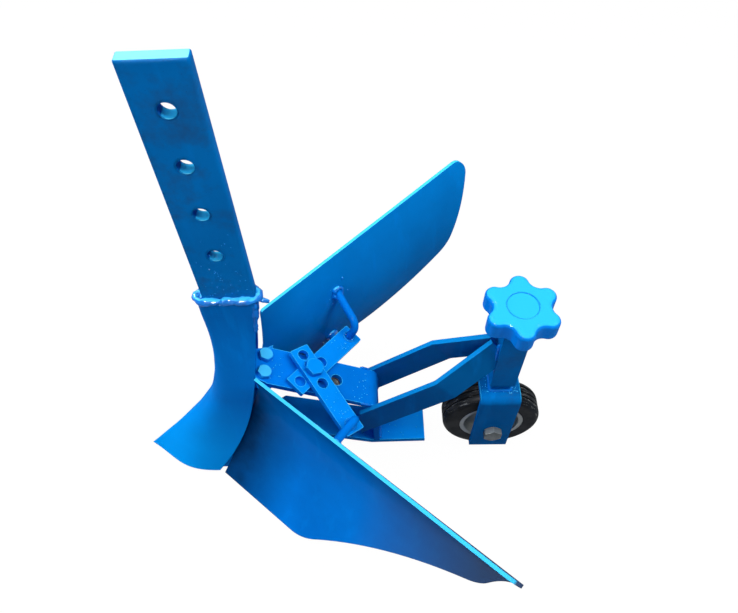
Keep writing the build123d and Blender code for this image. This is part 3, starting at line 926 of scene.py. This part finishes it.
@dataclass
class WingSkin:
    """The rolled wing's back face, for what is welded to it, and the slope of its top edge."""

    yaw: float = math.radians(40.67)
    radius: float = 203.8 * MM
    offset: float = 214.0 * MM
    axis_z: float = 139.3 * MM
    top_slope: float = 0.066

    def at(self, run: float, height: float, side: int) -> tuple[Vector, Vector]:
        """Point on the back face and the way out of it.

        Args:
            run: Distance along the wing.
            height: Height over the ground.
            side: 1 for the left wing, -1 for the right.

        Returns:
            The point and its unit normal.
        """
        along = Vector((math.cos(self.yaw), math.sin(self.yaw), 0))
        out = Vector((-math.sin(self.yaw), math.cos(self.yaw), 0))
        rise = height - self.axis_z
        reach = self.offset - math.sqrt(self.radius ** 2 - rise ** 2)
        spot = along * run + out * reach + Vector((SHANK_X, 0, height))
        away = (out * (reach - self.offset) + Vector((0, 0, rise))).normalized()
        flip = Vector((1, side, 1))
        return spot * flip, away * flip


@dataclass
class ShankAndShare(Assembly):
    """Neck welds and spatter, paint in the shank's holes and straps inside the share."""

    width: float = 45.0 * MM
    thick: float = 10.0 * MM
    neck_z: float = 273.0 * MM
    neck_front: float = 32.2 * MM
    front_step: float = 3.6 * MM
    weld_gap: float = 1.6 * MM
    weld_lift: float = 3.1 * MM
    filler_drop: float = 1.4 * MM
    spatter_lift: float = 8.0 * MM
    spatter_half: float = 18.9 * MM
    spatter_high: float = 75.0 * MM
    top_z: float = 505.0 * MM
    holes: int = 4
    hole_end: float = 36.0 * MM
    hole_pitch: float = 45.5 * MM
    hole_radius: float = 6.5 * MM
    film_thick: float = 0.25 * MM
    lip_sink: float = 0.5 * MM
    lip_set: float = 0.3 * MM
    lip_radius: float = 0.65 * MM
    lip_wave: float = 0.5
    lip_grain: float = 260.0
    lip_spread: float = 0.02
    strap_thick: float = 1.6 * MM
    strap_round: float = 0.5 * MM

    def build(self) -> None:
        """Make all pieces of the shank and the share."""
        self.neck_bead()
        self.rear_weld()
        self.neck_spatter()
        self.hole_paint()
        self.heel_straps()

    def neck_bead(self) -> None:
        """Lay the lumpy bead round the neck, with a filler in front and a spur behind."""
        shape = bmesh.new()
        bead = WeldBead(3.7 * MM, 4.2 * MM, 0.5, 14, 1.3)
        rear, near, far, cut = self.width / 2 + self.weld_gap, -6.8 * MM, 5.8 * MM, 4.2 * MM
        front, z = self.front_step - self.neck_front, self.neck_z + self.weld_lift
        corners = ((rear, far - cut), (rear - cut, far), (front + cut, far), (front, far - cut),
                   (front, near + cut), (front + cut, near), (rear - cut, near), (rear, near + cut))
        bead.lay(shape, [Vector((SHANK_X + x, y, z)) for x, y in corners], True)
        filler = WeldBead(3.2 * MM, 4.2 * MM, 0.2, 12, 3.1)
        inner = SHANK_X - self.width / 2 - self.weld_gap
        filler.lay(shape, [Vector((inner, y, z - self.filler_drop)) for y in (near, far)])
        spur = WeldBead(2.8 * MM, 3.0 * MM, 0.35, 10, 2.2)
        spur.lay(shape, in_mm(((25, -4, 273), (29, -4.5, 272), (33, -5, 271.5))))
        bead.roughen(shape)
        self.shop.piece("neck_bead", shape, Finish.BEAD, "frame", ("neck_weld",))

    def rear_weld(self) -> None:
        """Beads that run down from the neck at the share's rear edges."""
        shape = bmesh.new()
        for side in (1, -1):
            run = WeldBead(2.4 * MM, 4.0 * MM, 0.5, 10, 4.0 + side)
            run.lay(shape, in_mm(((20.3, 6.6, 272), (17.6, 6.9, 250), (14.6, 7.0, 230)), side))
        WeldBead(2.9 * MM, lump=0.4, seed=7.0).roughen(shape)
        self.shop.piece("neck_rear_weld", shape, Finish.WELD, "frame")

    def neck_spatter(self) -> None:
        """Drops over both faces of the shank above the neck weld."""
        shape = bmesh.new()
        for side in (1, -1):
            up = Matrix(((0, 1, 0), (0, 0, side), (1, 0, 0))).to_4x4()
            start = (SHANK_X, side * self.thick / 2, self.neck_z + self.spatter_lift)
            drops = Spatter(48, 11 + side, 0.25 * MM, 0.65 * MM)
            drops.throw(shape, Matrix.Translation(start) @ up, self.spatter_half, self.spatter_high)
        self.shop.piece("neck_spatter", shape, Finish.WELD, "frame")

    def hole_paint(self) -> None:
        """Spin the lips of paint at both faces of every hole, and the film inside."""
        lips, films = bmesh.new(), bmesh.new()
        for index in range(self.holes):
            level = self.top_z - self.hole_end - index * self.hole_pitch
            for side in (1, -1):
                face = side * (self.thick / 2 - self.lip_sink)
                self.lip(lips, Vector((SHANK_X, face, level)), index + side)
            self.film(films, Vector((SHANK_X, 0, level)))
        self.shop.piece("shank_hole_lips", lips, Finish.BAR, "frame")
        self.shop.piece("shank_hole_paint", films, Finish.BORE, "frame")

    def film(self, shape: BMesh, middle: Vector) -> None:
        """One hole's thin sleeve of paint.

        Args:
            shape: Bmesh that takes the sleeve.
            middle: Middle of the hole.
        """
        outer, half = self.hole_radius, self.thick / 2
        inner = outer - self.film_thick
        rows = ((outer, -half), (inner, -half), (inner, half), (outer, half))
        section = outline(shape, [middle + Vector((radius, y, 0)) for radius, y in rows])
        spin_round(shape, section, middle, (0, 1, 0), 48)

    def lip(self, shape: BMesh, middle: Vector, seed: float) -> None:
        """One lip, uneven round the hole.

        Args:
            shape: Bmesh that takes the lip.
            middle: Middle of the hole at the face.
            seed: Shifts its unevenness.
        """
        known = set(shape.verts)
        tube = Matrix.Translation(middle + Vector((self.hole_radius + self.lip_set, 0, 0)))
        spin_round(shape, circle(shape, 8, self.lip_radius, tube), middle, (0, 1, 0), 36)
        for vert in shape.verts:
            if vert not in known:
                away = vert.co - middle
                wave = self.lip_wave * noise.noise(away * self.lip_grain + Vector((seed, 0, 0)))
                vert.co.y += (vert.co.y - middle.y) * wave
                vert.co += Vector((away.x, 0, away.z)) * self.lip_spread * wave

    def heel_straps(self) -> None:
        """Straps inside the share's rear edges that close the sight past the wings."""
        shape = bmesh.new()
        low = ((-141, 33.4, 0.9), (-115.5, 34.5, 0.9), (-107, 25.1, 24), (-131, 25.6, 24))
        high = ((-133, 7.5, 97), (-80, 7.5, 97), (-73, 10, 136), (-113, 10, 136))
        for side in (1, -1):
            for corners in (low, high):
                shape.faces.new([shape.verts.new(spot) for spot in in_mm(corners, side, 0.0)])
        bmesh.ops.recalc_face_normals(shape, faces=shape.faces)
        bmesh.ops.solidify(shape, geom=list(shape.faces), thickness=self.strap_thick)
        bmesh.ops.bevel(
            shape, geom=list(shape.edges), offset=self.strap_round, offset_type="OFFSET", segments=2,
            profile=0.5, affect="EDGES", material=-1,
        )
        self.shop.piece("share_heel_straps", shape, Finish.ENAMEL, "frame")


@dataclass
class WingDressing(Assembly):
    """Weld rings and spatter at the staples on both wings."""

    skin: WingSkin = field(default_factory=WingSkin)
    feet: tuple[tuple[float, float], ...] = ((0.1175, 0.165), (0.105, 0.094))
    ring_radius: float = 5.4 * MM
    bead_radius: float = 2.7 * MM
    corners: int = 10
    drops: int = 7
    drop_reach: tuple[float, float] = (8.0, 19.0)
    drop_size: tuple[float, float] = (0.5, 1.1)
    drop_height: float = 0.55

    def build(self) -> None:
        """Weld rings round each staple's feet and drops of spatter near them."""
        for side, body in ((1, "left_wing"), (-1, "right_wing")):
            shape = bmesh.new()
            spots = random.Random(40 + side)
            for index, (run, height) in enumerate(self.feet):
                middle, away = self.skin.at(run, height, side)
                aim = facing(away).to_3x3()
                turns = [TURN * step / self.corners for step in range(self.corners)]
                ring = [Vector((math.cos(turn), math.sin(turn), 0.15)) * self.ring_radius for turn in turns]
                bead = WeldBead(self.bead_radius, 3.0 * MM, 0.75, 9, index + 2.0 * side)
                bead.lay(shape, [middle + aim @ spot for spot in ring], True)
                for _ in range(self.drops):
                    self.drop(shape, run, height, side, spots)
            WeldBead(self.bead_radius, lump=0.55, seed=side).roughen(shape)
            self.shop.piece(f"{body}_staple_welds", shape, Finish.BEAD, body)

    def drop(self, shape: BMesh, run: float, height: float, side: int, spots: random.Random) -> None:
        """One flat drop of spatter on the wing's back.

        Args:
            shape: Bmesh that takes the drop.
            run: Foot's place along the wing.
            height: Foot's height.
            side: Which wing.
            spots: Seeded source of places.
        """
        turn = spots.uniform(0, TURN)
        reach = spots.uniform(*self.drop_reach) * MM
        middle, away = self.skin.at(run + reach * math.cos(turn), height + reach * math.sin(turn), side)
        size = spots.uniform(*self.drop_size) * MM
        pose = Matrix.Translation(middle) @ facing(away) @ Matrix.Diagonal((1, 1, self.drop_height, 1))
        bmesh.ops.create_icosphere(shape, subdivisions=2, radius=size, matrix=pose)


@dataclass
class SpreadLinkage(Assembly):
    """Clamp and hinge bolts on the centre plate, the links' washers and the plate's welds."""

    plate: PlateFrame = field(default_factory=PlateFrame)
    hinge_u: float = -3.0 * MM
    hinge_v: float = 9.8 * MM
    clamp_u: float = 43.5 * MM
    spare_u: float = 73.0 * MM
    spare_bore: float = 5.4 * MM
    staple_u: float = 84.0 * MM
    staple_v: float = 52.0 * MM
    link_tops: tuple[tuple[int, str, float], ...] = (
        (1, "left_link", 5.2 * MM), (-1, "right_link", 10.4 * MM),
    )
    washer_lift: float = 0.05 * MM
    plate_edge: float = 20.8 * MM
    plate_run: tuple[float, float] = (99 * MM, 111 * MM)
    bead_sink: float = 0.4 * MM
    leg_x: float = 119.6 * MM + SHANK_X
    leg_run: tuple[float, float] = (98 * MM, 72 * MM)
    spatter_half: float = 17.0 * MM
    heel_x: float = 124.0 * MM + SHANK_X
    heel_top: float = 31.0 * MM

    def build(self) -> None:
        """Make the bolts, the nuts and the weld beads of the centre plate."""
        self.hinge_bolts()
        self.clamp()
        self.spare_nut()
        self.link_washers()
        self.link_spatter()
        self.welds()

    def hinge_bolts(self) -> None:
        """Painted hinge bolts with their nuts below."""
        bolts, nuts = bmesh.new(), bmesh.new()
        flats = 13.0 * MM
        for side in (1, -1):
            seat = self.plate.pose(self.hinge_u, side * self.hinge_v, 0, 0.3 * side)
            HexFastener(flats, 5.3 * MM).bolt(bolts, seat, 8.0 * MM, 22.7 * MM, 1.25 * MM)
            under = self.plate.pose(self.hinge_u, side * self.hinge_v, -19.7 * MM, 0.2)
            HexFastener(flats, 6.5 * MM).head(nuts, under)
        self.shop.piece("hinge_bolt_pair", bolts, Finish.BOLT, "frame", ("hinge_bolts",), False)
        self.shop.piece("hinge_nut_pair", nuts, Finish.BOLT, "frame", ("hinge_nuts",), False)

    def clamp(self) -> None:
        """Painted clamp bolt over the crossed links and its nut under the plate."""
        bolt, nut = bmesh.new(), bmesh.new()
        flats = 17.0 * MM
        seat = self.plate.pose(self.clamp_u, 0, 10.6 * MM, 0.9)
        HexFastener(flats, 6.6 * MM).bolt(bolt, seat, 10.0 * MM, 29.6 * MM, 1.5 * MM)
        HexFastener(flats, 8.0 * MM).head(nut, self.plate.pose(self.clamp_u, 0, -16.0 * MM, 0.1))
        self.shop.piece("clamp_bolt_hex", bolt, Finish.LINKS, "frame", ("clamp_bolt",), False)
        self.shop.piece("clamp_nut_hex", nut, Finish.ENAMEL, "frame", ("clamp_nut",), False)

    def spare_nut(self) -> None:
        """Threaded nut welded under the plate's spare hole."""
        shape = bmesh.new()
        low, high, pitch, corner = -16.5 * MM, -6.1 * MM, 1.5 * MM, 11.0 * MM
        inner, root = self.spare_bore * 1.12, self.spare_bore * 1.14
        _, bottom = circle(shape, 6, corner, Matrix.Translation((0, 0, low)))
        ring, top = grow(shape, bottom)
        bmesh.ops.translate(shape, vec=(0, 0, high - low), verts=ring)
        mouths = []
        for level, rim in ((low, bottom), (high, top)):
            _, mouth = circle(shape, 24, inner, Matrix.Translation((0, 0, level)))
            bmesh.ops.bridge_loops(shape, edges=rim + mouth)
            mouths += mouth
        bmesh.ops.bridge_loops(shape, edges=mouths)
        ThreadRidge(root, self.spare_bore, pitch, 5).wind(shape, low + pitch)
        bmesh.ops.transform(shape, matrix=self.plate.pose(self.spare_u, 0, 0), verts=shape.verts)
        self.shop.piece("spare_nut", shape, Finish.ZINC, "frame", (), False)

    def link_washers(self) -> None:
        """Thin washers on the links' tops round the staples' rods."""
        rows = ((4.25, 0.0), (6.6, 0.0), (6.8, 0.3), (6.8, 0.7), (6.6, 1.0), (4.5, 1.0), (4.25, 0.75))
        for side, body, level in self.link_tops:
            shape = bmesh.new()
            section = outline(shape, in_mm([(radius, 0, lift) for radius, lift in rows], start=0.0))
            spin_round(shape, section, (0, 0, 0), (0, 0, 1), 32)
            pose = self.plate.pose(self.staple_u, side * self.staple_v, level + self.washer_lift)
            bmesh.ops.transform(shape, matrix=pose, verts=shape.verts)
            self.shop.piece(f"{body}_washer", shape, Finish.ENAMEL, body)

    def link_spatter(self) -> None:
        """Drops on the links' tops, outside the place where they cross."""
        reach = self.staple_u - self.clamp_u
        for side, body, level in self.link_tops:
            shape = bmesh.new()
            turn = math.pi + side * math.atan2(self.staple_v, reach)
            start = self.plate.pose(self.staple_u, side * self.staple_v, level, turn)
            wide, long, inset = 8 * MM, 26 * MM, Matrix.Translation((9 * MM, 0, 0))
            Spatter(16, 24 + side).throw(shape, start @ inset, wide, long)
            self.shop.piece(f"{body}_spatter", shape, Finish.LINKS, body)

    def welds(self) -> None:
        """Beads where the arms, the leg and the sole bar meet, and spatter beside them."""
        shape = bmesh.new()
        foot = WeldBead(2.3 * MM, 3.2 * MM, 0.3, 9, 5.0)
        foot.lay(shape, in_mm(((121, -18.5, 32), (121, 18.5, 32))))
        for side in (1, -1):
            bead = WeldBead(1.7 * MM, 2.6 * MM, 0.3, 8, 2.0 * side)
            edge = side * self.plate_edge
            bead.lay(shape, [self.plate.at(u, edge, -self.bead_sink) for u in self.plate_run])
            bead.lay(shape, [Vector((self.leg_x, edge, z)) for z in self.leg_run])
        foot.roughen(shape)
        patches = (
            (16, 21, self.plate.pose(4 * MM, 0, 0), 13 * MM),
            (22, 23, self.plate.pose(107 * MM, 0, 0, math.pi), 16 * MM),
            (26, 22, Matrix.Translation((self.heel_x, 0, self.heel_top)), 40 * MM),
        )
        for count, seed, pose, long in patches:
            Spatter(count, seed).throw(shape, pose, self.spatter_half, long)
        self.shop.piece("plate_welds", shape, Finish.WELD, "frame")


@dataclass
class DepthWheel(Assembly):
    """Axle bolt and nut, the welds of the post and the arms, and the ring in the knob."""

    axle: Vector = field(default_factory=lambda: Vector((241.6 * MM + SHANK_X, 0, 52.0 * MM)))
    rake: float = math.radians(2.5)
    fork_half: float = 23.0 * MM
    fork_top: float = 65.0 * MM
    post_half: float = 10.4 * MM
    weld_lift: float = 0.2 * MM
    patches: tuple[tuple[float, float], ...] = ((12 * MM, 9 * MM), (18 * MM, 4 * MM))
    arm_x: float = -13.2 * MM
    arm_y: float = 7.0 * MM
    arm_ends: tuple[float, float] = (107 * MM, 145 * MM)
    knob_top: float = 196.3 * MM
    knob_cap: float = 14.6 * MM
    ring_radius: float = 0.75 * MM
    ring_sink: float = 0.5 * MM

    def pose(self) -> Matrix:
        """Frame at the axle with Z up the raked post."""
        return Matrix.Translation(self.axle) @ Matrix.Rotation(self.rake, 4, "Y")

    def build(self) -> None:
        """Make all pieces of the wheel and its post."""
        self.axle_bolt()
        self.post_weld()
        self.arm_welds()
        self.cap_ring()

    def axle_bolt(self) -> None:
        """Zinc plated axle bolt with its head to the right and the nut to the left."""
        bolt, nut = bmesh.new(), bmesh.new()
        flats = 18.0 * MM
        out = Matrix.Translation((0, 0, self.fork_half))
        seat, back = (self.pose() @ Matrix.Rotation(side * TURN / 4, 4, "X") @ out for side in (1, -1))
        HexFastener(flats, 7.5 * MM, 0.93).bolt(bolt, seat, 12.0 * MM, 59.0 * MM, 1.75 * MM)
        HexFastener(flats, 10.0 * MM).head(nut, back)
        self.shop.piece("axle_bolt_hex", bolt, Finish.ZINC, "post", ("axle_bolt",), False)
        self.shop.piece("axle_nut_hex", nut, Finish.ZINC, "post", ("axle_nut",), False)

    def post_weld(self) -> None:
        """Bead round the post's foot on the fork, with spatter on all four sides."""
        shape = bmesh.new()
        half, level = self.post_half, self.fork_top + self.weld_lift
        bead = WeldBead(1.9 * MM, 3.4 * MM, 0.3, 10, 9.0)
        corners = ((half, half), (-half, half), (-half, -half), (half, -half))
        bead.lay(shape, [self.pose() @ Vector((x, y, level)) for x, y in corners], True)
        bead.roughen(shape)
        for index in range(4):
            wide, long = self.patches[index % 2]
            place = Matrix.Translation((0, 0, self.fork_top)) @ Matrix.Rotation(index * TURN / 4, 4, "Z")
            patch = self.pose() @ place @ Matrix.Translation((half, 0, 0))
            Spatter(18, 31 + index).throw(shape, patch, wide, long)
        self.shop.piece("post_foot_weld", shape, Finish.WELD, "post")

    def arm_welds(self) -> None:
        """Upright beads where both arms end on the guide tube."""
        shape = bmesh.new()
        for side in (1, -1):
            bead = WeldBead(2.2 * MM, 3.0 * MM, 0.35, 9, 3.0 * side)
            ends = [Vector((self.arm_x, side * self.arm_y, z)) for z in self.arm_ends]
            bead.lay(shape, [self.pose() @ end for end in ends])
        WeldBead(2.2 * MM, lump=0.3, seed=2.0).roughen(shape)
        self.shop.piece("arm_end_welds", shape, Finish.WELD, "frame")

    def cap_ring(self) -> None:
        """Moulded ring round the cap in the knob's top."""
        shape = bmesh.new()
        start = Matrix.Translation((self.knob_cap, 0, 0)) @ Matrix.Rotation(TURN / 4, 4, "X")
        spin_round(shape, circle(shape, 10, self.ring_radius, start), (0, 0, 0), (0, 0, 1), 64)
        pose = self.pose() @ Matrix.Translation((0, 0, self.knob_top - self.ring_sink))
        bmesh.ops.transform(shape, matrix=pose, verts=shape.verts)
        self.shop.piece("knob_cap_ring", shape, Finish.ENAMEL, "knob")


@dataclass(frozen=True)
class Lamp:
    """A square lamp, which may show only as a glint in glossy surfaces."""

    name: str
    spot: tuple[float, float, float]
    size: float
    watts: float
    glint_only: bool = False

    def hang(self, aim: Vector) -> None:
        """Put the lamp in the scene.

        Args:
            aim: Point that it faces.
        """
        light = bpy.data.lights.new(self.name, "AREA")
        light.size = self.size
        light.energy = self.watts
        lamp = bpy.data.objects.new(self.name, light)
        lamp.visible_diffuse = not self.glint_only
        spot = Vector(self.spot)
        turn = (aim - spot).to_track_quat("-Z", "Y").to_matrix().to_4x4()
        lamp.matrix_world = Matrix.Translation(spot) @ turn
        bpy.context.scene.collection.objects.link(lamp)


@dataclass
class Studio:
    """Pale floor, soft light from above and the photograph's camera."""

    eye: Vector = field(default_factory=lambda: Vector((128.3 * MM + SHANK_X, -0.3521, 0.7332)))
    yaw: float = -0.0340
    pitch: float = 0.9373
    roll: float = -0.0591
    focal_px: float = 687.8
    width_px: int = 738
    middle_z: float = 0.12
    ambient: float = 0.07
    floor_half: float = 6.0
    floor_z: float = -0.6 * MM
    floor_grey: float = 0.22
    floor_glow: float = 1.09
    glow_share: float = 0.9
    lamps: tuple[Lamp, ...] = (
        Lamp("top_softbox", (-0.2, -0.1, 1.7), 1.5, 23.0),
        Lamp("front_softbox", (-1.4, 0.38, 0.95), 0.5, 14.0),
        Lamp("near_fill", (-0.5, -1.5, 0.9), 0.8, 7.5),
        Lamp("rear_softbox", (1.2, -0.1, 1.4), 0.8, 19.0),
        Lamp("small_glint", (-0.2, 0.9, 1.6), 0.12, 30.0, True),
        Lamp("near_glint", (-0.22, -0.55, 1.05), 0.25, 60.0, True),
    )

    def camera(self) -> None:
        """Create the camera of the photograph."""
        heading = Matrix.Rotation(-self.yaw, 4, "Z") @ Matrix.Rotation(TURN / 4 - self.pitch, 4, "X")
        turn = heading @ Matrix.Rotation(self.roll, 4, "Z")
        lens = bpy.data.cameras.new("photo_camera")
        lens.sensor_fit = "HORIZONTAL"
        lens.sensor_width = 36.0
        lens.lens = lens.sensor_width * self.focal_px / self.width_px
        lens.clip_start = 0.01
        camera = bpy.data.objects.new("photo_camera", lens)
        camera.matrix_world = Matrix.Translation(self.eye) @ turn
        bpy.context.scene.collection.objects.link(camera)
        bpy.context.scene.camera = camera

    def seen_by_eye(self, tree: NodeTree) -> NodeSocket:
        """Mask that is 1 for rays that show the background, straight or mirrored.

        Args:
            tree: Node tree that takes the mask.

        Returns:
            The mask's output socket.
        """
        path = tree.nodes.new("ShaderNodeLightPath")
        total = path.outputs["Is Camera Ray"]
        for ray in ("Is Glossy Ray", "Is Transmission Ray"):
            either = tree.nodes.new("ShaderNodeMath")
            either.operation = "MAXIMUM"
            tree.links.new(total, either.inputs[0])
            tree.links.new(path.outputs[ray], either.inputs[1])
            total = either.outputs[0]
        return total

    def world(self) -> None:
        """White to the eye, dim as a light."""
        world = bpy.data.worlds.new("pale_room")
        bpy.context.scene.world = world
        world.use_nodes = True
        tree = world.node_tree
        strength = tree.nodes.new("ShaderNodeMapRange")
        tree.links.new(self.seen_by_eye(tree), strength.inputs["Value"])
        strength.inputs["To Min"].default_value = self.ambient
        strength.inputs["To Max"].default_value = 1.0
        back = tree.nodes["Background"]
        back.inputs["Color"].default_value = (1, 1, 1, 1)
        tree.links.new(strength.outputs["Result"], back.inputs["Strength"])

    def paper(self) -> Material:
        """Matt floor material that glows white to the eye.

        Returns:
            The material.
        """
        paper = bpy.data.materials.new("pale_floor")
        paper.use_nodes = True
        tree = paper.node_tree
        tree.nodes.clear()
        kinds = ("OutputMaterial", "BsdfDiffuse", "Emission", "MixShader", "Math")
        output, matt, glow, lit, share = (tree.nodes.new(f"ShaderNode{kind}") for kind in kinds)
        matt.inputs["Color"].default_value = (*[self.floor_grey] * 3, 1)
        glow.inputs["Strength"].default_value = self.floor_glow
        share.operation = "MULTIPLY"
        share.inputs[1].default_value = self.glow_share
        tree.links.new(self.seen_by_eye(tree), share.inputs[0])
        for index, node in enumerate((share, matt, glow)):
            tree.links.new(node.outputs[0], lit.inputs[index])
        tree.links.new(lit.outputs[0], output.inputs["Surface"])
        return paper

    def floor(self) -> None:
        """Pale floor that keeps a faint shadow."""
        shape = bmesh.new()
        bmesh.ops.create_grid(shape, x_segments=2, y_segments=2, size=self.floor_half)
        mesh = bpy.data.meshes.new("floor")
        shape.to_mesh(mesh)
        shape.free()
        mesh.materials.append(self.paper())
        floor = bpy.data.objects.new("floor", mesh)
        floor.location.z = self.floor_z
        bpy.context.scene.collection.objects.link(floor)

    def build(self) -> None:
        """Set up camera, floor, world, lamps and colour."""
        self.camera()
        self.floor()
        self.world()
        for lamp in self.lamps:
            lamp.hang(Vector((0, 0, self.middle_z)))
        bpy.context.scene.view_settings.view_transform = "Standard"


def main() -> None:
    """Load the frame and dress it."""
    logging.basicConfig(level=logging.INFO)
    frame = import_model()
    shelf = FinishShelf()
    shelf.stock()
    shelf.dress_solids(frame)
    shop = Workshop(shelf)
    for assembly in (ShankAndShare, WingDressing, SpreadLinkage, DepthWheel):
        assembly(shop).build()
    Studio().build()
    LOG.info("%d new pieces", shop.count)


if __name__ == "__main__":
    main()
